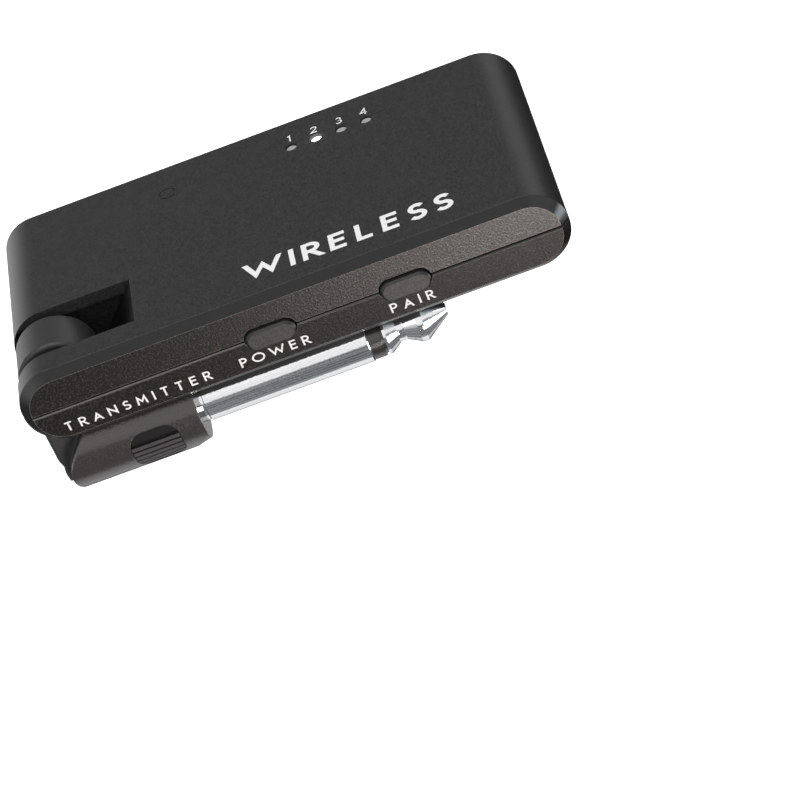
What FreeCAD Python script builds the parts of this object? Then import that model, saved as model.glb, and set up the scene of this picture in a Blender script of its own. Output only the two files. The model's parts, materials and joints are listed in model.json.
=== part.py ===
import FreeCAD, Part
import math
import os

# Wireless guitar transmitter: a flat radio case with a folding quarter-inch plug arm.
# Model axes: X along the case, Y from the control panel to the rear, Z up.
# The model origin is the middle of the case length, on the panel plane and the
# parting plane. Everything is exported from the root of the plug (see DATUM).

# case
LENGTH = 70.0
WIDTH = 36.4
THICK = 10.6
END_R = 5.05
WALL = 1.7
CHAMFER_IN = 1.2
CHAMFER_DEEP = 1.25
PANEL_DRAFT = math.tan(math.radians(2.2))
PARTING_GAP = 0.16
PARTING_DEEP = 0.9
LIP_HEIGHT = 0.7
LIP_PLAY = 0.1

# hinge and slot
PIVOT_X = -29.8
KNUCKLE_R = 5.15
KNUCKLE_EDGE = 0.5
KNUCKLE_Y = (6.3, 12.7)
SLOT_Y = (4.7, 13.7)
SLOT_CLEAR = 0.35
SLOT_UNDERCUT = 1.2
ARM_OPEN_DEG = 220.0
PIN_R = 1.0
PIN_Y = (1.6, 16.0)
PIN_PLAY = 0.05
BAY_END_X = -16.2
BAY_REAR_Y = 16.6

# plug and arm
PLUG_Y = 9.2
PLUG_Z = -12.0
PLUG_ROOT_X = -14.4
PLUG_R = 3.175
SLEEVE_END_X = 6.5
NECK_END_X = -15.2
RING_R = 3.02
RING_END_X = 8.5
FLANGE_R = 3.0
TIP_END_X = 16.9
POD_R = 5.6
POD_BORE_R = 4.4
POD_NOSE_X = -16.0
POD_WALL_X = -17.3
CORE_R = 4.3
CORE_END_X = -24.0
WEB_RIGHT = 3.8
KNEE_Z = -11.3
HEEL_R = 5.0
HEEL_DEG = 50.0
RIM_X = -33.42
RIM_SLOPE = 0.402
RIM_BOW = 0.102

# buttons on the panel
BUTTON_X = {"power": -3.2, "pair": 14.0}
BUTTON_OPEN = (6.7, 3.0)
BUTTON_BODY = (6.4, 2.7)
BUTTON_FACE = (5.8, 2.2)
BUTTON_PROUD = 0.75

# indicators on the top face
LED_X = (5.1, 8.45, 11.8, 15.15)
LED_Y = 29.4
LED_HOLE_R = 0.8
PIPE_R = 0.7
PIPE_SUNK = 0.35
RING_MARK = (-11.65, 29.2)

# board and battery
BOARD_TOP = -1.1
BOARD_THICK = 1.0
BOARD_X = (-11.2, 28.2)
BOARD_Y = (3.2, 34.0)
BOARD_EAR_X = -28.4
BOARD_EAR_Y = 19.0
CASE_SCREWS = ((31.0, 5.2), (31.0, 31.2), (-31.0, 31.2), (-13.8, 8.6))
BOARD_SCREWS = ((24.6, 30.6), (-25.4, 20.9))
BOARD_RESTS = ((0.0, 9.4), (20.0, 9.4))
USB_X = -6.0

HALF_X = LENGTH / 2
HALF_Z = THICK / 2
INNER_Z = HALF_Z - WALL
BOARD_BOTTOM = BOARD_TOP - BOARD_THICK

X = FreeCAD.Vector(1, 0, 0)
Y = FreeCAD.Vector(0, 1, 0)
Z = FreeCAD.Vector(0, 0, 1)
DATUM = FreeCAD.Vector(PLUG_ROOT_X, PLUG_Y, PLUG_Z)


def vec(x, y, z):
    return FreeCAD.Vector(x, y, z)


def box(x, y, z):
    """Box from three (low, high) pairs."""
    return Part.makeBox(x[1] - x[0], y[1] - y[0], z[1] - z[0], vec(x[0], y[0], z[0]))


def rod(axis, start, radius, length):
    return Part.makeCylinder(radius, length, start, axis)


def post(x, y, z, radius):
    """Upright cylinder between two heights."""
    return rod(Z, vec(x, y, z[0]), radius, z[1] - z[0])


def side_prism(points, y):
    """Closed outline in the XZ plane, extruded from y[0] to y[1]."""
    outline = [vec(px, y[0], pz) for px, pz in points]
    wire = Part.makePolygon(outline + outline[:1])
    return Part.Face(wire).extrude(vec(0, y[1] - y[0], 0))


def rounded_wire(centre, half_x, half_z, radius, y):
    """Rounded rectangle in the XZ plane at depth y."""
    cx, cz = centre
    edges = []
    joints = []
    for sx, sz, start in ((1, 1, 0), (-1, 1, 90), (-1, -1, 180), (1, -1, 270)):
        mid = (cx + sx * (half_x - radius), cz + sz * (half_z - radius))
        arc = []
        for turn in (0, 45, 90):
            angle = math.radians(start + turn)
            arc.append(vec(mid[0] + radius * math.cos(angle), y,
                           mid[1] + radius * math.sin(angle)))
        edges.append(Part.Arc(*arc).toShape())
        joints.append((arc[0], arc[2]))
    for i in range(4):
        start = joints[i][1]
        end = joints[(i + 1) % 4][0]
        if start.distanceToPoint(end) > 1e-6:
            edges.append(Part.makeLine(start, end))
    return Part.Wire(Part.__sortEdges__(edges))


def case_wire(inset, y):
    return rounded_wire((0, 0), HALF_X - inset, HALF_Z - inset, END_R - inset, y)


def case_core(inset):
    """Plain rounded slab, inset equally on every side."""
    face = Part.Face(case_wire(inset, inset))
    return face.extrude(vec(0, WIDTH - 2 * inset, 0))


def pill(x, size, y):
    """Rounded button outline extruded between two depths."""
    radius = size[1] / 2 - 0.001
    face = Part.Face(rounded_wire((x, 0), size[0] / 2, size[1] / 2, radius, y[0]))
    return face.extrude(vec(0, y[1] - y[0], 0))


def case_outside():
    """Outer form with a chamfer band at each end and a slightly drafted panel."""
    front = Part.makeLoft([case_wire(CHAMFER_IN, 0), case_wire(0, CHAMFER_DEEP)], True, True)
    rear = Part.makeLoft([case_wire(0, WIDTH - CHAMFER_DEEP), case_wire(CHAMFER_IN, WIDTH)],
                         True, True)
    middle = Part.Face(case_wire(0, CHAMFER_DEEP)).extrude(vec(0, WIDTH - 2 * CHAMFER_DEEP, 0))
    body = front.fuse([middle, rear]).removeSplitter()
    for side in (1, -1):
        wedge = [vec(-HALF_X, 0, 0), vec(-HALF_X, -1, 0), vec(-HALF_X, -1, side * HALF_Z),
                 vec(-HALF_X, HALF_Z * PANEL_DRAFT, side * HALF_Z)]
        face = Part.Face(Part.makePolygon(wedge + wedge[:1]))
        body = body.cut(face.extrude(vec(LENGTH, 0, 0)))
    return body


def slot_space(clear, y, top):
    """Space swept by the arm web, seen from the side, grown by a clearance."""
    radius = KNUCKLE_R + clear
    tilt = math.radians(ARM_OPEN_DEG - 180)
    touch = (radius * math.cos(tilt), -radius * math.sin(tilt))
    rise = (top - touch[1]) / math.cos(tilt)
    ramp_top = touch[0] + rise * math.sin(tilt)
    ramp = [(PIVOT_X, touch[1]), (PIVOT_X + touch[0], touch[1]),
            (PIVOT_X + ramp_top, top), (PIVOT_X, top)]
    space = rod(Y, vec(PIVOT_X, y[0], 0), radius, y[1] - y[0])
    parts = [side_prism(ramp, y),
             box((-HALF_X - 3, PIVOT_X), y, (-HALF_Z - 1, top)),
             box((PIVOT_X - 1, PIVOT_X + WEB_RIGHT + 0.15 + clear), y, (-HALF_Z - 1, 0))]
    return space.fuse(parts).removeSplitter()


def arm_slot():
    """Slot through the case skin, wider in y behind it, with a pocket past the ramp's rear edge."""
    front, rear = SLOT_Y[0] - SLOT_UNDERCUT, SLOT_Y[1] + SLOT_UNDERCUT
    skin = slot_space(SLOT_CLEAR, SLOT_Y, HALF_Z + 1)
    bay = slot_space(SLOT_CLEAR, (front, SLOT_Y[1]), INNER_Z)
    pocket = slot_space(SLOT_CLEAR + SLOT_UNDERCUT, (SLOT_Y[1], rear), INNER_Z)
    inside = box((-HALF_X + WALL, BAY_END_X - 0.8), (front, rear), (-INNER_Z, INNER_Z))
    return skin.fuse(bay.fuse(pocket).common(inside)).removeSplitter()


def parting_groove():
    ring = box((-HALF_X, HALF_X), (0, WIDTH), (-PARTING_GAP / 2, PARTING_GAP / 2))
    ring = ring.cut(case_core(PARTING_DEEP))
    vee = [vec(-HALF_X, -0.05, -0.29), vec(-HALF_X, -0.05, 0.29), vec(-HALF_X, 0.24, 0)]
    face = Part.Face(Part.makePolygon(vee + vee[:1]))
    return ring.fuse(face.extrude(vec(LENGTH, 0, 0)))


def locating_lip(play):
    """Upstand that keys the two shells together, kept clear of the hinge bay."""
    outer = case_core(PARTING_DEEP + LIP_PLAY - play)
    lip = outer.cut(case_core(WALL))
    lip = lip.common(box((-HALF_X, HALF_X), (0, WIDTH), (-0.4, LIP_HEIGHT + play)))
    lip = lip.cut(box((-HALF_X, BAY_END_X + 1), (0, BAY_REAR_Y + 1), (-1, 2)))
    for x in BUTTON_X.values():
        lip = lip.cut(box((x - 4.4, x + 4.4), (0, WALL + 1), (-1, 2)))
    return lip.cut(box((USB_X - 5.6, USB_X + 5.6), (WIDTH - WALL - 1, WIDTH), (-1, 2)))


def shells():
    outside = case_outside()
    bay_block = box((-HALF_X, BAY_END_X), (0, BAY_REAR_Y), (-HALF_Z, HALF_Z))
    room = case_core(WALL).cut(bay_block)
    body = outside.cut(room)
    for x, y in CASE_SCREWS:
        body = body.fuse(post(x, y, (-INNER_Z - 0.1, INNER_Z + 0.1), 2.1))
    cuts = [arm_slot(), parting_groove(), rod(Y, vec(PIVOT_X, PIN_Y[0], 0), PIN_R,
                                              PIN_Y[1] - PIN_Y[0])]
    for x in BUTTON_X.values():
        cuts.append(pill(x, BUTTON_OPEN, (-1, WALL + 0.5)))
    cuts.append(rounded_slot(USB_X, 0.5, (9.4, 3.6), (WIDTH - WALL - 0.5, WIDTH + 1)))
    body = body.cut(cuts)

    upper = body.common(box((-HALF_X, HALF_X), (-1, WIDTH), (0, HALF_Z)))
    lower = body.common(box((-HALF_X, HALF_X), (-1, WIDTH), (-HALF_Z, 0)))
    upper = upper.cut(locating_lip(LIP_PLAY))
    lower = lower.fuse(locating_lip(0).common(box((-HALF_X, HALF_X), (0, WIDTH),
                                                  (-0.4, LIP_HEIGHT))))

    holes = [post(x, LED_Y, (0, HALF_Z + 1), LED_HOLE_R) for x in LED_X]
    mark = post(*RING_MARK, (HALF_Z - 0.12, HALF_Z + 1), 1.15)
    holes.append(mark.cut(post(*RING_MARK, (0, HALF_Z + 2), 0.95)))
    holes += [post(x, y, (-1, 3.9), 0.75) for x, y in CASE_SCREWS]
    upper = upper.cut(holes)

    for x, y in BOARD_SCREWS + BOARD_RESTS:
        lower = lower.fuse(post(x, y, (-INNER_Z - 0.1, BOARD_BOTTOM), 1.8))
    bores = [post(x, y, (-INNER_Z + 0.1, 0), 0.75) for x, y in BOARD_SCREWS]
    for x, y in CASE_SCREWS:
        bores.append(post(x, y, (-HALF_Z - 1, 1), 0.9))
        bores.append(post(x, y, (-HALF_Z - 1, -HALF_Z + 1.1), 1.65))
    lower = lower.cut(bores)
    return upper.removeSplitter(), lower.removeSplitter()


def rounded_slot(x, z, size, y):
    radius = size[1] / 2 - 0.05
    face = Part.Face(rounded_wire((x, z), size[0] / 2, size[1] / 2, radius, y[0]))
    return face.extrude(vec(0, y[1] - y[0], 0))


def screw(x, y, head_z, tip_z, head_r, shank_r):
    """Pan-head screw with a cross recess; the head is at head_z, the tip at tip_z."""
    up = 1 if tip_z > head_z else -1
    head = rod(Z * up, vec(x, y, head_z), head_r, 0.8)
    shank = rod(Z * up, vec(x, y, head_z), shank_r, abs(tip_z - head_z))
    shape = head.fuse(shank)
    low, high = sorted((head_z - up * 0.1, head_z + up * 0.4))
    for half in ((0.75, 0.15), (0.15, 0.75)):
        shape = shape.cut(box((x - half[0], x + half[0]), (y - half[1], y + half[1]),
                              (low, high)))
    return shape


def button(x):
    """Keycap: bevelled face, body through the panel, retaining flange and stem."""
    face = rounded_wire((x, 0), BUTTON_FACE[0] / 2, BUTTON_FACE[1] / 2,
                        BUTTON_FACE[1] / 2 - 0.001, -BUTTON_PROUD)
    body = rounded_wire((x, 0), BUTTON_BODY[0] / 2, BUTTON_BODY[1] / 2,
                        BUTTON_BODY[1] / 2 - 0.001, -BUTTON_PROUD + 0.3)
    cap = Part.makeLoft([face, body], True, True)
    shank = pill(x, BUTTON_BODY, (-BUTTON_PROUD + 0.3, WALL + 0.1))
    flange = pill(x, (7.8, 4.0), (WALL + 0.08, WALL + 0.7))
    stem = box((x - 1.2, x + 1.2), (WALL + 0.5, 3.6), (-0.7, 0.7))
    return cap.fuse([shank, flange, stem]).removeSplitter()


def switch(x):
    """Side-push switch body with a blind guide for its plunger."""
    body = box((x - 2.3, x + 2.3), (4.6, 7.0), (BOARD_TOP, BOARD_TOP + 2.0))
    return body.cut(box((x - 0.95, x + 0.95), (4, 6.0), (-0.6, 0.6)))


def plunger(x):
    return box((x - 0.85, x + 0.85), (3.6, 5.2), (-0.5, 0.5))


def light_pipe(x):
    stem = post(x, LED_Y, (BOARD_TOP + 0.9, HALF_Z - PIPE_SUNK), PIPE_R)
    flange = post(x, LED_Y, (INNER_Z - 0.7, INNER_Z), 1.25)
    return stem.fuse(flange).removeSplitter()


def board():
    low, high = BOARD_BOTTOM, BOARD_TOP
    main = box(BOARD_X, BOARD_Y, (low, high))
    ear = box((BOARD_EAR_X, BOARD_X[0]), (BOARD_EAR_Y, BOARD_Y[1]), (low, high))
    shape = main.fuse(ear).removeSplitter()
    return shape.cut([post(x, y, (low - 1, high + 1), 0.9) for x, y in BOARD_SCREWS])


def shield_can():
    outer = box((-23.4, -13.4), (21.4, 29.4), (BOARD_TOP, BOARD_TOP + 1.7))
    return outer.cut(box((-23.2, -13.6), (21.6, 29.2), (BOARD_TOP - 1, BOARD_TOP + 1.5)))


def usb_socket():
    low = BOARD_TOP
    mid = low + 1.6
    shell = rounded_slot(USB_X, mid, (8.94, 3.2), (WIDTH - 7.6, WIDTH - 0.3))
    mouth = rounded_slot(USB_X, mid, (8.34, 2.6), (WIDTH - 6.8, WIDTH))
    return shell.cut(mouth)


def usb_tongue():
    mid = BOARD_TOP + 1.6
    return box((USB_X - 3.3, USB_X + 3.3), (WIDTH - 6.8, WIDTH - 1.2), (mid - 0.35, mid + 0.35))


def rim_face(shift, y):
    """Side outline of the pod: bowed rear rim, open to the front."""
    rim = []
    for step in range(-8, 9):
        dz = step * 0.9
        rim.append(vec(RIM_X + shift + RIM_SLOPE * dz + RIM_BOW * dz * dz, y, PLUG_Z + dz))
    curve = Part.BSplineCurve()
    curve.interpolate(rim)
    corners = [rim[-1], vec(POD_NOSE_X, y, rim[-1].z), vec(POD_NOSE_X, y, rim[0].z), rim[0]]
    return Part.Face(Part.Wire([curve.toShape()] + Part.makePolygon(corners).Edges))


def pod_block(shift, radius):
    """Round bar on the plug axis, ended by the bowed rim."""
    bar = rod(X, vec(-40, PLUG_Y, PLUG_Z), radius, POD_NOSE_X + 40)
    sides = rim_face(shift, PLUG_Y - 10).extrude(vec(0, 20, 0))
    return bar.common(sides)


def arm_cover():
    body = pod_block(0, POD_R)
    rim_edges = [e for e in body.Edges if e.BoundBox.XMax < -20 and e.BoundBox.ZLength > 5]
    body = body.makeFillet(0.3, rim_edges)

    # the underside of the nose rises towards the plug
    nose = box((-19.4, POD_NOSE_X), (PLUG_Y - 9, PLUG_Y + 9), (PLUG_Z - 9, PLUG_Z + 9))
    lift = rod(vec(math.cos(0.29), 0, math.sin(0.29)), vec(-22.4, PLUG_Y, PLUG_Z - 0.1),
               POD_R + 0.8, 20)
    body = body.cut(nose.cut(lift))

    bore = rod(X, vec(-45, PLUG_Y, PLUG_Z), POD_BORE_R, POD_WALL_X + 45)
    root = rod(X, vec(-20, PLUG_Y, PLUG_Z), 2.6, 10)
    body = body.cut([bore, root, grip_window(0).cut(rod(X, vec(-40, PLUG_Y, PLUG_Z), 5.0, 40))])
    for x in (-29.6, -26.0):
        seat = vec(x, PLUG_Y + POD_BORE_R - 1, PLUG_Z)
        body = body.cut([rod(Y, seat, 0.9, 4), rod(Y, seat + Y * 1.6, 1.5, 4)])
    return body


def grip_window(inset):
    """Rounded window on the panel side of the pod."""
    wire = rounded_wire((-22.3, -13.1), 3.2 - inset, 2.95 - inset, 1.9 - inset, 2)
    return Part.Face(wire).extrude(vec(0, 5, 0))


def grip_pad():
    """Thumb pad: a thin curved plate with raised ribs along the arm."""
    window = grip_window(0.06)
    bar = rod(X, vec(-30, PLUG_Y, PLUG_Z), 5.2, 15)
    hollow = rod(X, vec(-31, PLUG_Y, PLUG_Z), 5.0, 17)
    pad = bar.cut(hollow).common(window)
    for degrees in (89, 80.5, 72, 63.5, 55):
        rib = box((-30, -15), (PLUG_Y - 0.27, PLUG_Y + 0.27), (PLUG_Z - 5.62, PLUG_Z - 5.05))
        rib.rotate(vec(0, PLUG_Y, PLUG_Z), X, -degrees)
        pad = pad.fuse(rib.common(window))
    return pad.removeSplitter()


def hinge_knuckle():
    """Barrel on the hinge pin, web down to the pod and a round core inside it."""
    low, high = KNUCKLE_Y
    barrel = rod(Y, vec(PIVOT_X, low, 0), KNUCKLE_R, high - low)
    barrel = barrel.makeFillet(KNUCKLE_EDGE, [e for e in barrel.Edges if e.Length > 20])

    left = PIVOT_X - KNUCKLE_R
    right = PIVOT_X + WEB_RIGHT
    start = vec(left, low, 0)
    turns = [math.radians(HEEL_DEG * share) for share in (0, 0.5, 1)]
    knee, middle, heel = [vec(left + HEEL_R * (1 - math.cos(turn)), low,
                              KNEE_Z - HEEL_R * math.sin(turn)) for turn in turns]
    bend = Part.Arc(knee, middle, heel).toShape()
    edges = [Part.makeLine(start, knee), bend]
    corners = [heel, vec(right, low, heel.z), vec(right, low, 0), start]
    outline = Part.Wire(edges + Part.makePolygon(corners).Edges)
    web = Part.Face(outline).extrude(vec(0, high - low, 0))
    web = web.makeFillet(KNUCKLE_EDGE, [e for e in web.Edges if e.BoundBox.XMax < left + 2.3
                               and e.BoundBox.YLength < 0.01])
    web = web.cut(pod_block(-0.3, POD_R + 0.25))

    neck_slab = box((-40, CORE_END_X), (low, high), (PLUG_Z - CORE_R, PLUG_Z + CORE_R))
    neck = pod_block(-0.9, CORE_R).common(neck_slab)
    core = pod_block(-0.1, CORE_R).common(box((-40, CORE_END_X), (0, 20), (-20, 0)))
    shape = barrel.fuse([web, neck, core])
    shape = shape.cut(rod(Y, vec(PIVOT_X, 0, 0), PIN_R + PIN_PLAY, 20))
    for x in (-29.6, -26.0):
        shape = shape.cut(rod(Y, vec(x, PLUG_Y - 1.2, PLUG_Z), 0.75, 8))
    return shape.removeSplitter()


def arm_screw(x):
    """Countersunk into the rear side of the pod, driven towards the panel."""
    head = rod(Y, vec(x, PLUG_Y + POD_BORE_R + 0.6, PLUG_Z), 1.4, 0.5)
    shank = rod(Y, vec(x, PLUG_Y - 1.0, PLUG_Z), 0.75, POD_BORE_R + 1.8)
    slot = box((x - 2, x + 2), (PLUG_Y + POD_BORE_R + 0.85, PLUG_Y + 9),
               (PLUG_Z - 0.15, PLUG_Z + 0.15))
    return head.fuse(shank).cut(slot).removeSplitter()


def turned(profile):
    """Solid of revolution about the plug axis from (x, radius) stations."""
    pts = [vec(x, PLUG_Y, PLUG_Z + r) for x, r in profile]
    pts = [vec(profile[0][0], PLUG_Y, PLUG_Z)] + pts + [vec(profile[-1][0], PLUG_Y, PLUG_Z)]
    face = Part.Face(Part.makePolygon(pts + pts[:1]))
    return face.revolve(vec(0, PLUG_Y, PLUG_Z), X, 360)


def on_plug(start, end, radius):
    return rod(X, vec(start, PLUG_Y, PLUG_Z), radius, end - start)


def plug_collar():
    """Short neck between the pod and the sleeve, a little narrower than the sleeve."""
    neck = turned([(POD_NOSE_X, 3.0), (NECK_END_X - 0.1, 3.0), (NECK_END_X, 2.9)])
    return neck.cut(on_plug(-20, -10, 2.55))


def plug_sleeve():
    outside = turned([(-20.2, 2.55), (NECK_END_X, 2.55), (NECK_END_X, PLUG_R - 0.05),
                      (NECK_END_X + 0.05, PLUG_R), (SLEEVE_END_X - 0.12, PLUG_R),
                      (SLEEVE_END_X, PLUG_R - 0.12)])
    return outside.cut(on_plug(-25, 10, 1.9))


def plug_insulator():
    """Black ring with a lower shoulder towards the tip, on a tube inside the sleeve."""
    outside = turned([(-21.0, 1.9), (SLEEVE_END_X, 1.9), (SLEEVE_END_X, RING_R),
                      (RING_END_X - 0.4, RING_R), (RING_END_X - 0.4, 2.7), (RING_END_X, 2.7)])
    return outside.cut(on_plug(-25, 10, 1.1))


def plug_tip():
    """Contact rod and turned tip: flange, waist, bulb and cone."""
    waist = 10.3
    bulb = 12.95
    shape = turned([(-22.6, 1.1), (RING_END_X, 1.1), (RING_END_X, FLANGE_R), (8.85, FLANGE_R),
                    (waist, 2.0), (waist + 0.8, 2.0), (bulb, 2.98), (bulb + 0.7, 2.98),
                    (TIP_END_X, 0.72)])
    soft = [e for e in shape.Edges
            if waist - 0.1 < e.BoundBox.XMin < bulb + 0.8 and e.BoundBox.XLength < 0.01]
    return shape.makeFillet(0.3, soft)


def plug_nut():
    points = []
    for i in range(6):
        angle = math.radians(60 * i)
        points.append(vec(-19.0, PLUG_Y + 4.05 * math.cos(angle),
                          PLUG_Z + 4.05 * math.sin(angle)))
    body = Part.Face(Part.makePolygon(points + points[:1])).extrude(vec(1.65, 0, 0))
    return body.cut(on_plug(-25, -10, 2.6))


def solder_lug(start, bore, angle):
    """Thin ring with a tail, clamped at the back of the plug."""
    ring = on_plug(start, start + 0.3, bore + 0.9)
    tail = box((start, start + 0.3), (PLUG_Y - 0.5, PLUG_Y + 0.5), (PLUG_Z, PLUG_Z + 4.0))
    tail.rotate(vec(0, PLUG_Y, PLUG_Z), X, angle)
    return ring.fuse(tail).cut(on_plug(-25, -10, bore)).removeSplitter()


def spacer(y):
    """Friction bush on the pin, between the bay wall and the knuckle."""
    ring = rod(Y, vec(PIVOT_X, y[0], 0), 2.6, y[1] - y[0])
    return ring.cut(rod(Y, vec(PIVOT_X, y[0] - 1, 0), PIN_R, 5))


def chip(x, y, size, height):
    half = size / 2
    return box((x - half, x + half), (y - half, y + half), (BOARD_TOP, BOARD_TOP + height))


def build():
    nodes = {}
    nodes["upper_shell"], nodes["lower_shell"] = shells()
    nodes["hinge_pin"] = rod(Y, vec(PIVOT_X, PIN_Y[0], 0), PIN_R, PIN_Y[1] - PIN_Y[0])
    nodes["hinge_bush_front"] = spacer((SLOT_Y[0] - SLOT_UNDERCUT, KNUCKLE_Y[0] - 0.05))
    nodes["hinge_bush_rear"] = spacer((KNUCKLE_Y[1] + 0.05, SLOT_Y[1] + SLOT_UNDERCUT))
    for name, x in BUTTON_X.items():
        nodes[name + "_button"] = button(x)
        nodes[name + "_plunger"] = plunger(x)
        nodes[name + "_switch"] = switch(x)
    for i, x in enumerate(LED_X, 1):
        nodes["light_pipe_%d" % i] = light_pipe(x)
        nodes["status_led_%d" % i] = box((x - 0.8, x + 0.8), (LED_Y - 0.4, LED_Y + 0.4),
                                         (BOARD_TOP, BOARD_TOP + 0.7))
    nodes["main_board"] = board()
    nodes["radio_shield"] = shield_can()
    nodes["radio_chip"] = chip(-18.4, 25.4, 5.0, 0.9)
    nodes["processor_chip"] = chip(6.4, 9.2, 3.6, 0.85)
    nodes["audio_chip"] = chip(22.0, 9.2, 3.2, 0.75)
    nodes["chip_antenna"] = box((-22.0, -18.6), (31.2, 32.8), (BOARD_TOP, BOARD_TOP + 1.1))
    nodes["usb_socket"] = usb_socket()
    nodes["usb_tongue"] = usb_tongue()
    nodes["battery_pad"] = box((-6.5, 25.5), (12.6, 25.4), (BOARD_TOP, BOARD_TOP + 0.3))
    nodes["battery_cell"] = battery()
    nodes["battery_plug"] = box((-10.6, -8.2), (15.4, 20.2), (BOARD_TOP, BOARD_TOP + 1.7))
    for i, y in enumerate((17.0, 18.6), 1):
        nodes["battery_lead_%d" % i] = rod(X, vec(-8.2, y, BOARD_TOP + 1.0), 0.3, 0.7)
    for i, (x, y) in enumerate(CASE_SCREWS, 1):
        nodes["case_screw_%d" % i] = screw(x, y, -HALF_Z + 0.3, 3.2, 1.5, 0.75)
    for i, (x, y) in enumerate(BOARD_SCREWS, 1):
        nodes["board_screw_%d" % i] = screw(x, y, BOARD_TOP + 0.8, -INNER_Z + 0.3, 1.3, 0.75)

    nodes["hinge_knuckle"] = hinge_knuckle()
    nodes["arm_cover"] = arm_cover()
    nodes["grip_pad"] = grip_pad()
    nodes["arm_screw_1"] = arm_screw(-29.6)
    nodes["arm_screw_2"] = arm_screw(-26.0)
    nodes["plug_collar"] = plug_collar()
    nodes["plug_sleeve"] = plug_sleeve()
    nodes["plug_insulator"] = plug_insulator()
    nodes["plug_tip"] = plug_tip()
    nodes["plug_nut"] = plug_nut()
    nodes["sleeve_lug"] = solder_lug(-19.3, 2.55, 180)
    nodes["tip_lug"] = solder_lug(-21.3, 1.1, 0)
    return nodes


def battery():
    cell = box((-7.5, 27.0), (12.2, 25.8), (BOARD_TOP + 0.3, BOARD_TOP + 4.1))
    long_edges = [e for e in cell.Edges if e.BoundBox.XLength > 30]
    return cell.makeFillet(1.2, long_edges)


def main():
    os.makedirs("parts", exist_ok=True)
    for name, shape in build().items():
        placed = shape.copy()
        placed.translate(DATUM * -1)
        if len(placed.Solids) == 1:
            placed = placed.Solids[0]
        print(name, placed.ShapeType, len(placed.Solids), placed.isValid(),
              round(placed.Volume, 2))
        placed.exportStep("parts/%s.step" % name)


main()
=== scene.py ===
import json
import math

import bmesh
import bpy
from mathutils import Matrix, Vector


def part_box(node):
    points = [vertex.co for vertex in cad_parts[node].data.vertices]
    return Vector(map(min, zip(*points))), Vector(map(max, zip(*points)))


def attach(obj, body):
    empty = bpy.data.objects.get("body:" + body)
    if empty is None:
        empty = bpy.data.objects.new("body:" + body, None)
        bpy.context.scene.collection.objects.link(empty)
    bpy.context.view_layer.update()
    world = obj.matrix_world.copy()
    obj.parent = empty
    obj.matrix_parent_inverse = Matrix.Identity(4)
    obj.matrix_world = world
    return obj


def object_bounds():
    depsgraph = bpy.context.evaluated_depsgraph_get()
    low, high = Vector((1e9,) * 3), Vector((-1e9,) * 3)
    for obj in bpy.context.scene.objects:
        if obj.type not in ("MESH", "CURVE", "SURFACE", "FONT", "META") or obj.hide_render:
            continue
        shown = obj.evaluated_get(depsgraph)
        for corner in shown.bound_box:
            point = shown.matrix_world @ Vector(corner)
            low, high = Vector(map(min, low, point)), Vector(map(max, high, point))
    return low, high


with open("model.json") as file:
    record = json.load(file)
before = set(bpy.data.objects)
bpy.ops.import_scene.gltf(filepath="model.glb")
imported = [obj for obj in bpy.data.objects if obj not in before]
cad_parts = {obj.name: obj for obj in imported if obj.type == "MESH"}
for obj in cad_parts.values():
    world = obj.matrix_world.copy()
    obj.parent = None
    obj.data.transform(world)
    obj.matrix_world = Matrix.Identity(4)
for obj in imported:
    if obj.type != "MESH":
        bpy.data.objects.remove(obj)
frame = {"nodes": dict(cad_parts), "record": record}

MM = 0.001
nodes = frame["nodes"]
cad_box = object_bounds()


# ---------------------------------------------------------------- case datum

upper_low, upper_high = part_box("upper_shell")
MID_X = (upper_low.x + upper_high.x) / 2
PANEL_Y = upper_low.y
PARTING_Z = upper_low.z
TOP_Z = upper_high.z

# In mm from the middle of the panel's parting line.
SLOT_Y = (4.7, 13.7)
SLOT_END_X = -16.0
RIB_TOP = -11.85


def on_case(x, y, z):
    """A point given in mm from the middle of the panel's parting line."""
    return Vector((MID_X + x * MM, PANEL_Y + y * MM, PARTING_Z + z * MM))


# ---------------------------------------------------------------- materials

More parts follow.
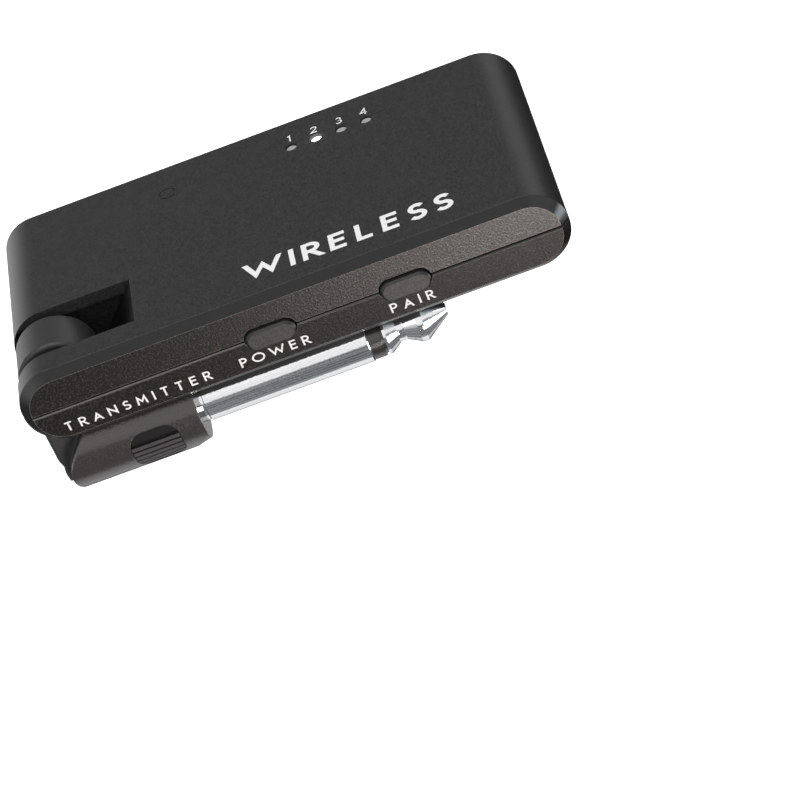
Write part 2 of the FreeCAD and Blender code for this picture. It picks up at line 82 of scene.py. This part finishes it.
class Finish:
    """A node material on object coordinates, built up one layer at a time."""

    def __init__(self, name, colour, roughness, metallic=0.0, specular=0.5):
        self.material = bpy.data.materials.new(name)
        self.material.use_nodes = True
        self.tree = self.material.node_tree
        self.shader = self.tree.nodes["Principled BSDF"]
        self.shader.inputs["Metallic"].default_value = metallic
        self.shader.inputs["Specular IOR Level"].default_value = specular
        self.shader.inputs["Roughness"].default_value = roughness
        self.shader.inputs["Base Color"].default_value = (*colour, 1)
        self.place = self.tree.nodes.new("ShaderNodeTexCoord")

    def add(self, kind, **settings):
        node = self.tree.nodes.new("ShaderNode" + kind)
        for key, value in settings.items():
            setattr(node, key, value)
        return node

    def link(self, source, target):
        self.tree.links.new(source, target)

    def noise(self, size_mm, detail=2.0, rough=0.5, stretch=(1, 1, 1)):
        """Noise whose features are about size_mm across, from 0 to 1."""
        mapping = self.add("Mapping")
        mapping.inputs["Scale"].default_value = [s / (size_mm * MM) for s in stretch]
        self.link(self.place.outputs["Object"], mapping.inputs["Vector"])
        noise = self.add("TexNoise")
        noise.inputs["Scale"].default_value = 1.0
        noise.inputs["Detail"].default_value = detail
        noise.inputs["Roughness"].default_value = rough
        self.link(mapping.outputs["Vector"], noise.inputs["Vector"])
        return noise.outputs["Fac"]

    def spread(self, fac, low, high, start=0.3, end=0.7):
        """Maps fac from start..end to low..high."""
        node = self.add("MapRange")
        for key, value in (("From Min", start), ("From Max", end),
                           ("To Min", low), ("To Max", high)):
            node.inputs[key].default_value = value
        self.link(fac, node.inputs["Value"])
        return node.outputs["Result"]

    def mix(self, fac, first, second):
        """Blends two colours or values by fac."""
        colour = isinstance(first, tuple) or getattr(first, "type", "") == "RGBA"
        node = self.add("Mix", data_type="RGBA" if colour else "FLOAT")
        tag = "Color" if colour else "Float"
        pick = {s.identifier: s for s in node.inputs}
        self.link(fac, pick["Factor_Float"])
        for side, value in (("A", first), ("B", second)):
            socket = pick[side + "_" + tag]
            if hasattr(value, "is_output"):
                self.link(value, socket)
            elif colour:
                socket.default_value = (*value, 1)
            else:
                socket.default_value = value
        return {s.identifier: s for s in node.outputs}["Result_" + tag]

    def parts(self, output):
        """X, Y and Z of the place or the normal, in object space."""
        split = self.add("SeparateXYZ")
        self.link(self.place.outputs[output], split.inputs["Vector"])
        return split.outputs

    def maths(self, operation, first, second):
        """Arithmetic or a comparison on two values."""
        node = self.add("Math", operation=operation)
        for socket, value in zip(node.inputs, (first, second)):
            if hasattr(value, "is_output"):
                self.link(value, socket)
            else:
                socket.default_value = value
        return node.outputs["Value"]

    def both(self, first, *others):
        """1 where every mask is 1."""
        for other in others:
            first = self.maths("MULTIPLY", first, other)
        return first

    def below(self, value, limit):
        return self.maths("LESS_THAN", value, limit)

    def within(self, value, low, high):
        """1 where value lies between low and high, otherwise 0."""
        return self.both(self.maths("GREATER_THAN", value, low), self.below(value, high))

    def edges(self, radius_mm):
        """1 close to a sharp edge, 0 away from it."""
        bevel = self.add("Bevel", samples=4)
        bevel.inputs["Radius"].default_value = radius_mm * MM
        flat = self.add("NewGeometry")
        match = self.add("VectorMath", operation="DOT_PRODUCT")
        self.link(bevel.outputs["Normal"], match.inputs[0])
        self.link(flat.outputs["Normal"], match.inputs[1])
        return self.spread(match.outputs["Value"], 1, 0, 0.95, 0.995)

    def bump(self, height, depth_mm, edge_mm=0.0):
        """Relief, over edges that look rounded to edge_mm."""
        node = self.add("Bump")
        node.inputs["Distance"].default_value = depth_mm * MM
        if edge_mm:
            edge = self.add("Bevel", samples=4)
            edge.inputs["Radius"].default_value = edge_mm * MM
            self.link(edge.outputs["Normal"], node.inputs["Normal"])
        self.link(height, node.inputs["Height"])
        self.link(node.outputs["Normal"], self.shader.inputs["Normal"])
        self.link(node.outputs["Normal"], self.shader.inputs["Coat Normal"])
        return self

    def set(self, socket, value):
        """Gives a shader socket a value, or links one to it."""
        if hasattr(value, "is_output"):
            self.link(value, self.shader.inputs[socket])
        else:
            self.shader.inputs[socket].default_value = value
        return self


def grained(name, colour, roughness, grain_mm, depth_mm, shift=0.12, rough_shift=0.08,
            specular=0.5, edge_mm=0.0, coat=0.0):
    """A surface whose colour, roughness and relief all follow one fine grain."""
    finish = Finish(name, colour, roughness, specular=specular)
    grain = finish.noise(grain_mm, detail=3.0)
    dark = tuple(c * (1 - shift) for c in colour)
    light = tuple(c * (1 + shift) for c in colour)
    finish.set("Base Color", finish.mix(finish.spread(grain, 0, 1), dark, light))
    finish.set("Roughness", finish.spread(grain, roughness - rough_shift,
                                          roughness + rough_shift))
    finish.set("Coat Weight", coat).set("Coat Roughness", 0.22)
    return finish.bump(grain, depth_mm, edge_mm)


def slot_shade_mask(finish, place, normal):
    """Where shade is painted: 1 deep in the hinge slot and 0 near its rim. Up the end ramp it
    only falls to 0.75.
    """
    across = finish.within(place["Y"], PANEL_Y + (SLOT_Y[0] - 0.02) * MM,
                           PANEL_Y + (SLOT_Y[1] + 0.02) * MM)
    left = finish.below(place["X"], MID_X + SLOT_END_X * MM)
    ramp = finish.below(normal["X"], -0.5)
    on_wall = finish.spread(place["Z"], 1, 0, TOP_Z - 2.0 * MM, TOP_Z - 1.6 * MM)
    on_ramp = finish.spread(place["Z"], 1, 0.75, TOP_Z - 2.6 * MM, TOP_Z)
    return finish.both(across, left, finish.mix(ramp, on_wall, on_ramp))


def lip_highlight_mask(finish, place, normal, bevel):
    """1 on the lower lip of the parting groove in the panel, where a highlight is painted, fading
    out to the right.
    """
    return finish.both(finish.within(normal["Z"], 0.35, 0.95),
                       finish.within(place["Z"], PARTING_Z - 0.2 * MM, PARTING_Z),
                       bevel,
                       finish.spread(place["X"], 1, 0.1, MID_X - 10 * MM, MID_X + 20 * MM))


def case_finish():
    """Satin plastic, a sparkling texture on the control panel, and a smooth bevel round it;
    painted shade in the hinge slot and painted highlights on the panel's edges and groove lip.
    """
    finish = Finish("case_plastic", (0.04, 0.04, 0.04), 0.45)
    fine = finish.noise(0.20, detail=3.0)
    coarse = finish.noise(0.26, detail=2.0, rough=0.6)
    flow = finish.noise(14.0, detail=1.0)
    normal = finish.parts("Normal")
    place = finish.parts("Object")

    panel = finish.both(finish.below(normal["Y"], -0.97),
                        finish.below(place["Y"], PANEL_Y + 0.35 * MM))
    bevel = finish.both(finish.below(normal["Y"], -0.4),
                        finish.below(place["Y"], PANEL_Y + 1.4 * MM))
    slot_shade = slot_shade_mask(finish, place, normal)
    lip = lip_highlight_mask(finish, place, normal, bevel)

    satin = finish.mix(finish.spread(fine, 0, 1, 0.36, 0.64), (0.015, 0.015, 0.0155),
                       (0.042, 0.042, 0.0425))
    satin = finish.mix(finish.spread(flow, 0, 0.25), satin, (0.032, 0.032, 0.033))
    # Painted shade: the case goes near black deep in the hinge slot.
    satin = finish.mix(slot_shade, satin, (0.001, 0.001, 0.001))
    smooth = finish.mix(fine, (0.0105, 0.0105, 0.0105), (0.0115, 0.0115, 0.0115))
    grit = finish.spread(coarse, 0, 1, 0.50, 0.64)
    eroded = finish.mix(grit, (0.001, 0.001, 0.001), (0.046, 0.036, 0.030))
    # Painted highlight: a light beige line along the panel's sharp edges.
    eroded = finish.mix(finish.edges(0.14), eroded, (0.28, 0.24, 0.22))
    colour = finish.mix(panel, finish.mix(bevel, satin, smooth), eroded)
    # Painted highlight: a light colour on the lower lip of the parting groove.
    finish.set("Base Color", finish.mix(lip, colour, (0.16, 0.155, 0.15)))

    rough = finish.mix(slot_shade, finish.spread(fine, 0.40, 0.50), 0.32)
    rough = finish.mix(bevel, rough, finish.spread(fine, 0.20, 0.22))
    finish.set("Roughness", finish.mix(panel, rough, finish.spread(coarse, 0.38, 0.27)))
    relief = finish.mix(bevel, finish.maths("MULTIPLY", fine, 0.2),
                        finish.maths("MULTIPLY", fine, 0.002))
    relief = finish.mix(panel, relief, finish.maths("MULTIPLY", coarse, 0.8))
    return finish.bump(relief, 0.030, edge_mm=0.08)


def button_finish():
    """Dark rubber sides under a lighter, finely textured face."""
    finish = Finish("button_rubber", (0.04, 0.04, 0.04), 0.42)
    grain = finish.noise(0.26, detail=2.0, rough=0.6)
    face = finish.below(finish.parts("Normal")["Y"], -0.95)
    sides = finish.mix(grain, (0.008, 0.008, 0.008), (0.012, 0.011, 0.011))
    front = finish.mix(finish.spread(grain, 0, 1), (0.022, 0.020, 0.020), (0.062, 0.056, 0.053))
    finish.set("Base Color", finish.mix(face, sides, front))
    finish.set("Roughness", finish.spread(grain, 0.48, 0.40))
    return finish.bump(grain, 0.012, edge_mm=0.10)


def grip_finish():
    """Rubber near black on the flat zone above the ribs, with the ribs much lighter as a painted
    highlight.
    """
    finish = Finish("grip_rubber", (0.02, 0.02, 0.02), 0.5, specular=0.25)
    grain = finish.noise(0.14, detail=3.0)
    lit_rib_mask = finish.spread(finish.parts("Object")["Z"], 1, 0, PARTING_Z + (RIB_TOP - 0.1) * MM,
                           PARTING_Z + (RIB_TOP + 0.1) * MM)
    # Painted light: the ribs get a far lighter colour than the flat zone above them.
    flat = finish.mix(grain, (0.004, 0.004, 0.004), (0.007, 0.0065, 0.0065))
    ribs = finish.mix(grain, (0.060, 0.057, 0.057), (0.085, 0.081, 0.081))
    finish.set("Base Color", finish.mix(lit_rib_mask, flat, ribs))
    finish.set("Roughness", finish.spread(grain, 0.46, 0.56))
    return finish.bump(grain, 0.005, edge_mm=0.10)


def metal(name, colour, roughness, scuff=0.06, ripple_mm=0.0):
    """Plated metal with clouded polish, and ripples where it was buffed or fine turning marks."""
    finish = Finish(name, colour, roughness, metallic=1.0)
    cloud = finish.noise(2.5, detail=3.0)
    finish.set("Roughness", finish.spread(cloud, max(roughness - scuff, 0.02),
                                          roughness + scuff))
    if ripple_mm:
        return finish.bump(finish.noise(0.45, detail=3.0), ripple_mm)
    return finish.bump(finish.noise(0.05, detail=1.0, stretch=(1, 0.02, 0.02)), 0.0006)


def glowing(name, colour, strength):
    """A lit light pipe."""
    finish = grained(name, colour, 0.35, 0.2, 0.004, shift=0.03)
    finish.set("Emission Color", (1.0, 0.99, 0.97, 1))
    finish.set("Emission Strength", strength)
    return finish


finishes = {
    "case": case_finish(),
    "button": button_finish(),
    "arm_plastic": grained("arm_plastic", (0.036, 0.029, 0.026), 0.22, 0.34, 0.024,
                           rough_shift=0.05, specular=0.9, edge_mm=0.16, coat=0.3),
    "knuckle_plastic": grained("knuckle_plastic", (0.034, 0.034, 0.034), 0.48, 0.22, 0.010,
                               edge_mm=0.18),
    "grip": grip_finish(),
    "plug_metal": metal("plug_plating", (0.90, 0.90, 0.91), 0.06, 0.03, 0.010),
    "plug_ring": grained("plug_ring_plastic", (0.020, 0.016, 0.014), 0.22, 0.25, 0.0002,
                         shift=0.04, rough_shift=0.01, specular=1.0),
    "light_pipe": grained("light_pipe_plastic", (0.45, 0.44, 0.44), 0.45, 0.2, 0.004, shift=0.05),
    "led": grained("led_resin", (0.75, 0.72, 0.50), 0.35, 0.1, 0.002),
    "board": grained("board_mask", (0.010, 0.085, 0.035), 0.32, 0.8, 0.010, shift=0.2),
    "chip": grained("chip_epoxy", (0.015, 0.015, 0.016), 0.45, 0.1, 0.004),
    "ceramic": grained("antenna_ceramic", (0.62, 0.60, 0.54), 0.35, 0.3, 0.003, shift=0.06),
    "tin": metal("tin_plate", (0.58, 0.58, 0.57), 0.28),
    "steel": metal("zinc_steel", (0.48, 0.48, 0.49), 0.30),
    "brass": metal("plated_brass", (0.72, 0.56, 0.28), 0.25),
    "acetal": grained("acetal", (0.026, 0.026, 0.026), 0.38, 0.3, 0.004, shift=0.08),
    "battery": grained("battery_foil", (0.45, 0.46, 0.48), 0.36, 1.2, 0.030, shift=0.08),
    "foam": grained("foam_tape", (0.04, 0.04, 0.04), 0.85, 0.25, 0.040),
    "connector": grained("connector_nylon", (0.75, 0.72, 0.64), 0.42, 0.3, 0.004, shift=0.05),
    "lead": grained("lead_sheath", (0.35, 0.015, 0.012), 0.40, 0.3, 0.004),
}

for part in frame["record"]["subparts"]:
    mesh = nodes[part["node"]].data
    mesh.materials.clear()
    mesh.materials.append(finishes[part["material_slot"]].material)

LIT_PIPE = "light_pipe_2"
GLOW = 1.2
nodes[LIT_PIPE].data.materials[0] = glowing("light_pipe_lit", (0.9, 0.9, 0.9), GLOW).material


# ---------------------------------------------------------------- printed marks

INK_MM = 0.020
LAYER_MM = 0.003
PANEL_DRAFT = math.tan(math.radians(2.2))
LABEL_HEIGHT = 1.40
LABEL_WEIGHT = 0.23
LABEL_BASELINE = -3.45
NUMERAL_WEIGHT = 0.19
NUMERAL_SHIFT = (-0.05, 1.2)

ARC_STEP = 9
TOUCHING = 1e-4
STEEP = 0.6
SHARPEST_MITRE = 0.35

# Letters are strokes on a grid one unit high. A stroke is a list of points;
# an arc entry is ("arc", centre x, centre y, radius x, radius y, from, to) in degrees.
STROKES = {
    "A": (0.68, [[(0, 0), (0.34, 0.84), (0.68, 0)], [(0.13, 0.28), (0.55, 0.28)]]),
    "E": (0.52, [[(0.52, 1), (0, 1), (0, 0), (0.52, 0)], [(0, 0.53), (0.48, 0.53)]]),
    "I": (0.0, [[(0, 0), (0, 1)]]),
    "L": (0.50, [[(0, 1), (0, 0), (0.50, 0)]]),
    "M": (0.80, [[(0, 0), (0.08, 0.88), (0.40, 0.28), (0.72, 0.88), (0.80, 0)]]),
    "N": (0.68, [[(0, 0), (0, 0.90), (0.68, 0.10), (0.68, 1)]]),
    "O": (1.0, [[("arc", 0.5, 0.5, 0.5, 0.5, 0, 360)]]),
    "P": (0.50, [[(0, 0), (0, 1)], [(0, 1), (0.22, 1), ("arc", 0.22, 0.73, 0.27, 0.27, 90, -90),
                                    (0, 0.46)]]),
    "R": (0.54, [[(0, 0), (0, 1)], [(0, 1), (0.22, 1), ("arc", 0.22, 0.73, 0.27, 0.27, 90, -90),
                                    (0, 0.46)], [(0.22, 0.46), (0.54, 0)]]),
    "S": (0.50, [[("arc", 0.25, 0.75, 0.225, 0.25, 30, 270),
                  ("arc", 0.25, 0.25, 0.25, 0.25, 90, -150)]]),
    "T": (0.64, [[(0, 1), (0.64, 1)], [(0.32, 1), (0.32, 0)]]),
    "W": (1.22, [[(0, 1), (0.31, 0.16), (0.61, 0.80), (0.91, 0.16), (1.22, 1)]]),
    "1": (0.20, [[(0, 0.86), (0.20, 1), (0.20, 0)]]),
    "2": (0.54, [[("arc", 0.27, 0.73, 0.25, 0.27, 165, -35), (0, 0), (0.56, 0)]]),
    "3": (0.50, [[("arc", 0.24, 0.76, 0.22, 0.24, 150, -80),
                  ("arc", 0.24, 0.27, 0.26, 0.27, 80, -150)]]),
    "4": (0.60, [[(0.44, 0), (0.44, 1), (0, 0.28), (0.60, 0.28)]]),
}


def stroke_points(stroke):
    """The stroke's points in order, with arcs cut into short steps."""
    points = []
    for item in stroke:
        if item[0] != "arc":
            points.append(Vector(item))
            continue
        _, cx, cy, rx, ry, start, end = item
        steps = max(6, round(abs(end - start) / ARC_STEP))
        for i in range(steps + 1):
            angle = math.radians(start + (end - start) * i / steps)
            points.append(Vector((cx + rx * math.cos(angle), cy + ry * math.sin(angle))))
    clean = points[:1]
    for point in points[1:]:
        if (point - clean[-1]).length > TOUCHING:
            clean.append(point)
    return clean


def ribbon(mesh, points, half, ends, place, lift):
    """One flat stroke with mitred corners, lifted off its neighbours.

    A steep end that lies on either height in ends is cut level, half a weight further on."""
    origin = place(Vector((0, 0)))
    outward = (place(Vector((1, 0))) - origin).cross(place(Vector((0, 1))) - origin)
    rise = outward.normalized() * lift * MM
    closed = (points[0] - points[-1]).length < 1e-3
    if closed:
        points = points[:-1]
    count = len(points)
    rows = []
    for i, point in enumerate(points):
        ways = []
        if i or closed:
            ways.append((point - points[i - 1]).normalized())
        if i < count - 1 or closed:
            ways.append((points[(i + 1) % count] - point).normalized())
        way = ways[0]
        level = min(abs(point.y - e) for e in ends) < TOUCHING
        if len(ways) == 1 and abs(way.y) > STEEP and level:
            reach = half / abs(way.y)
            onward = way if i else -way
            side = Vector((-1 if way.y > 0 else 1, 0))
            point = point + onward * reach
        else:
            normals = [Vector((-w.y, w.x)) for w in ways]
            side = (normals[0] + normals[-1]).normalized()
            reach = half / max(side.dot(normals[0]), SHARPEST_MITRE)
        rows.append([mesh.verts.new(place(point + side * s * reach) + rise) for s in (1, -1)])
    for i in range(count if closed else count - 1):
        a, b = rows[i], rows[(i + 1) % count]
        mesh.faces.new((a[0], a[1], b[1], b[0]))


def lettering(name, text, height, weight, gap, place, material, body):
    """Printed text; place maps (x, y) in mm to the row frame."""
    mesh = bmesh.new()
    cursor = 0.0
    for letter in text:
        width, strokes = STROKES[letter]
        for layer, stroke in enumerate(strokes):
            points = [Vector((cursor + p.x * height, p.y * (height - weight) + weight / 2))
                      for p in stroke_points(stroke)]
            ribbon(mesh, points, weight / 2, (weight / 2, height - weight / 2), place,
                   layer * LAYER_MM)
        cursor += width * height + gap
    data = bpy.data.meshes.new(name)
    mesh.to_mesh(data)
    mesh.free()
    label = bpy.data.objects.new(name, data)
    bpy.context.scene.collection.objects.link(label)
    label.data.materials.append(material)
    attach(label, body)


white_ink = grained("white_ink", (0.90, 0.90, 0.89), 0.55, 0.12, 0.002, shift=0.03).material


def on_panel(x, baseline):
    """Maps text on the lower half of the panel, which leans back below the parting line."""
    def place(point):
        z = baseline + point.y
        return on_case(x + point.x, abs(z) * PANEL_DRAFT - INK_MM, z)
    return place


def on_top(x, y):
    """Maps text on the top face."""
    rise = Vector((0, 0, TOP_Z - PARTING_Z + INK_MM * MM))
    return lambda point: on_case(x + point.x, y + point.y, 0) + rise


# Name, text, gap between letters, and left end from the middle of the panel, in mm.
for name, text, gap, x in (("label_transmitter", "TRANSMITTER", 1.008, -30.7),
                           ("label_power", "POWER", 0.86, -8.0),
                           ("label_pair", "PAIR", 0.98, 11.3)):
    lettering(name, text, LABEL_HEIGHT, LABEL_WEIGHT, gap, on_panel(x, LABEL_BASELINE),
              white_ink, "housing")
lettering("label_wireless", "WIRELESS", height=3.4, weight=0.66, gap=1.62,
          place=on_top(-3.6, 4.1), material=white_ink, body="housing")
for digit in "1234":
    low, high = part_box("light_pipe_" + digit)
    x = ((low.x + high.x) / 2 - MID_X) / MM
    y = ((low.y + high.y) / 2 - PANEL_Y) / MM
    width = STROKES[digit][0] * LABEL_HEIGHT
    lettering("numeral_" + digit, digit, LABEL_HEIGHT, NUMERAL_WEIGHT, 0,
              on_top(x - width / 2 + NUMERAL_SHIFT[0], y + NUMERAL_SHIFT[1]), white_ink,
              "housing")


# ---------------------------------------------------------------- stage

def area_light(name, place, target, size, power, colour):
    """A soft rectangular light that faces target."""
    data = bpy.data.lights.new(name, "AREA")
    data.shape = "RECTANGLE"
    data.size, data.size_y = size
    data.energy = power
    data.color = colour
    light = bpy.data.objects.new(name, data)
    light.location = place
    light.rotation_euler = (Vector(target) - Vector(place)).to_track_quat("-Z", "Y").to_euler()
    bpy.context.scene.collection.objects.link(light)


def from_object(azimuth, elevation, distance=1.0):
    """A point seen from the object, at an azimuth from the front towards +X, in degrees."""
    turn, rise = math.radians(azimuth), math.radians(elevation)
    return distance * Vector((math.sin(turn) * math.cos(rise),
                              -math.cos(turn) * math.cos(rise), math.sin(rise)))


# A warm light in front, a little below the object, picks out the texture of the panel.
middle = on_case(0, 12, 0)
area_light("front_key", middle + from_object(12, -19, 0.26), middle, (0.09, 0.09), 0.34,
           (1, 0.90, 0.86))

# The lit pipe also lights the case round it.
halo_low, halo_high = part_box(LIT_PIPE)
halo_data = bpy.data.lights.new("lit_pipe_halo", "POINT")
halo_data.energy = 4.5e-5
halo_data.shadow_soft_size = 0.2 * MM
halo = bpy.data.objects.new("lit_pipe_halo", halo_data)
halo.location = ((halo_low.x + halo_high.x) / 2, (halo_low.y + halo_high.y) / 2,
                 TOP_Z + 0.3 * MM)
halo.visible_camera = False
halo.visible_glossy = False
halo.parent = nodes[LIT_PIPE]
bpy.context.scene.collection.objects.link(halo)


class Studio:
    """A world of soft boxes and dark walls, added up by direction."""

    def __init__(self):
        world = bpy.data.worlds.new("studio")
        bpy.context.scene.world = world
        world.use_nodes = True
        self.tree = world.node_tree
        self.shader = None
        self.way = self.tree.nodes.new("ShaderNodeTexCoord").outputs["Generated"]
        self.split = self.tree.nodes.new("ShaderNodeSeparateXYZ")
        self.tree.links.new(self.way, self.split.inputs["Vector"])

    def fade(self, source, start, end, low=0.0, high=1.0):
        """A smooth change from low to high as source goes from start to end."""
        node = self.tree.nodes.new("ShaderNodeMapRange")
        node.interpolation_type = "SMOOTHSTEP"
        for key, value in (("From Min", start), ("From Max", end),
                           ("To Min", low), ("To Max", high)):
            node.inputs[key].default_value = value
        self.tree.links.new(source, node.inputs["Value"])
        return node.outputs["Result"]

    def along(self, axis, start, end, low=0.0, high=1.0):
        """Fades by the X, Y or Z part of the direction."""
        return self.fade(self.split.outputs[axis], start, end, low, high)

    def spot(self, azimuth, elevation, inner, outer):
        """A round patch of light with a soft edge, radii in degrees."""
        dot = self.tree.nodes.new("ShaderNodeVectorMath")
        dot.operation = "DOT_PRODUCT"
        dot.inputs[1].default_value = from_object(azimuth, elevation)
        self.tree.links.new(self.way, dot.inputs[0])
        return self.fade(dot.outputs["Value"], math.cos(math.radians(outer)),
                         math.cos(math.radians(inner)))

    def times(self, first, second):
        node = self.tree.nodes.new("ShaderNodeMath")
        node.operation = "MULTIPLY"
        for socket, value in zip(node.inputs, (first, second)):
            if hasattr(value, "is_output"):
                self.tree.links.new(value, socket)
            else:
                socket.default_value = value
        return node.outputs["Value"]

    def light(self, colour, strength):
        """Adds one more source to the world."""
        node = self.tree.nodes.new("ShaderNodeBackground")
        node.inputs["Color"].default_value = (*colour, 1)
        self.tree.links.new(strength, node.inputs["Strength"])
        if self.shader is None:
            self.shader = node.outputs["Background"]
            return
        both = self.tree.nodes.new("ShaderNodeAddShader")
        self.tree.links.new(self.shader, both.inputs[0])
        self.tree.links.new(node.outputs["Background"], both.inputs[1])
        self.shader = both.outputs["Shader"]

    def finish(self):
        """What the camera sees past the floor is plain and pale."""
        pale = self.tree.nodes.new("ShaderNodeBackground")
        pale.inputs["Color"].default_value = (1, 1, 1, 1)
        path = self.tree.nodes.new("ShaderNodeLightPath")
        pick = self.tree.nodes.new("ShaderNodeMixShader")
        self.tree.links.new(path.outputs["Is Camera Ray"], pick.inputs["Fac"])
        self.tree.links.new(self.shader, pick.inputs[1])
        self.tree.links.new(pale.outputs["Background"], pick.inputs[2])
        world_output = self.tree.nodes["World Output"]
        self.tree.links.new(pick.outputs["Shader"], world_output.inputs["Surface"])


WHITE = (1.0, 1.0, 1.0)

# Soft round patches: azimuth, elevation, inner and outer radius in degrees, strength, colour.
PATCHES = (
    (-145, -6, 8, 30, 1.6, WHITE),
    (-176, -38, 8, 20, 0.7, WHITE),
    (146, 26, 4, 22, 1.4, WHITE),
    (72, -18, 8, 17, 7.5, (0.86, 0.94, 1.0)),
    (-72, 12, 16, 34, 0.45, WHITE),
)

studio = Studio()

# Dim streaked walls, brighter in front and almost dark behind on the right.
streaks = studio.tree.nodes.new("ShaderNodeTexNoise")
streaks.inputs["Scale"].default_value = 14.0
streaks.inputs["Detail"].default_value = 4.0
walls = studio.times(studio.along("Y", 0.2, -0.2, 0.10, 0.20),
                     studio.fade(streaks.outputs["Fac"], 0.38, 0.62, 0.5, 1.6))
shade = studio.times(studio.along("Y", 0.05, 0.3), studio.along("X", 0.10, 0.35))
studio.light((0.92, 0.96, 1.0), studio.times(walls, studio.fade(shade, 0, 1, 1, 0.04)))

# A broad soft box in front, from just above the horizon to about 50 degrees up.
front_box = studio.times(studio.along("Z", -0.02, 0.13), studio.along("Z", 0.88, 0.74))
front_box = studio.times(front_box, studio.along("Y", 0.0, -0.25, 0, 0.72))
studio.light((1.0, 0.99, 0.98), front_box)

# A strong light overhead, and one from below that stays clear of the front.
studio.light(WHITE, studio.along("Z", 0.86, 0.94, 0, 2.9))
floor_glow = studio.times(studio.along("Z", -0.84, -0.91, 0, 0.70),
                          studio.along("Y", -0.42, -0.2))
studio.light(WHITE, floor_glow)

for azimuth, elevation, inner, outer, strength, colour in PATCHES:
    studio.light(colour, studio.times(studio.spot(azimuth, elevation, inner, outer), strength))
studio.finish()

# A pale floor far below the object, which neither lights it nor shows in it.
FLOOR_DROP = 0.5
floor_mesh = bpy.data.meshes.new("floor")
floor = bpy.data.objects.new("floor", floor_mesh)
sheet = bmesh.new()
bmesh.ops.create_grid(sheet, x_segments=1, y_segments=1, size=6.0)
sheet.to_mesh(floor_mesh)
sheet.free()
floor.location = (0, 0, cad_box[0].z - FLOOR_DROP)
floor.visible_diffuse = False
floor.visible_glossy = False
bpy.context.scene.collection.objects.link(floor)
floor_paper = grained("floor_paper", (0.92, 0.92, 0.92), 0.8, 3.0, 0.0, shift=0.01)
floor_paper.set("Emission Color", (1, 1, 1, 1)).set("Emission Strength", 0.75)
floor_mesh.materials.append(floor_paper.material)


# ---------------------------------------------------------------- camera

# A long lens, placed to match the outline of the case in the photo.
CAMERA_AT = on_case(35.63, -298.58, 208.87)
CAMERA_AZIMUTH = math.radians(5.297)
CAMERA_ELEVATION = math.radians(36.869)
CAMERA_ROLL = math.radians(23.1)
CAMERA_LENS = 137.64

camera_data = bpy.data.cameras.new("camera")
camera_data.lens = CAMERA_LENS
camera_data.sensor_width = 36
camera_data.clip_start = 0.01
camera = bpy.data.objects.new("camera", camera_data)
look = Vector((-math.sin(CAMERA_AZIMUTH) * math.cos(CAMERA_ELEVATION),
               math.cos(CAMERA_AZIMUTH) * math.cos(CAMERA_ELEVATION),
               -math.sin(CAMERA_ELEVATION)))
aim = look.to_track_quat("-Z", "Y").to_matrix().to_4x4()
camera.matrix_world = (Matrix.Translation(CAMERA_AT) @ aim
                       @ Matrix.Rotation(-CAMERA_ROLL, 4, "Z"))
bpy.context.scene.collection.objects.link(camera)
bpy.context.scene.camera = camera
bpy.context.scene.view_settings.view_transform = "Standard"
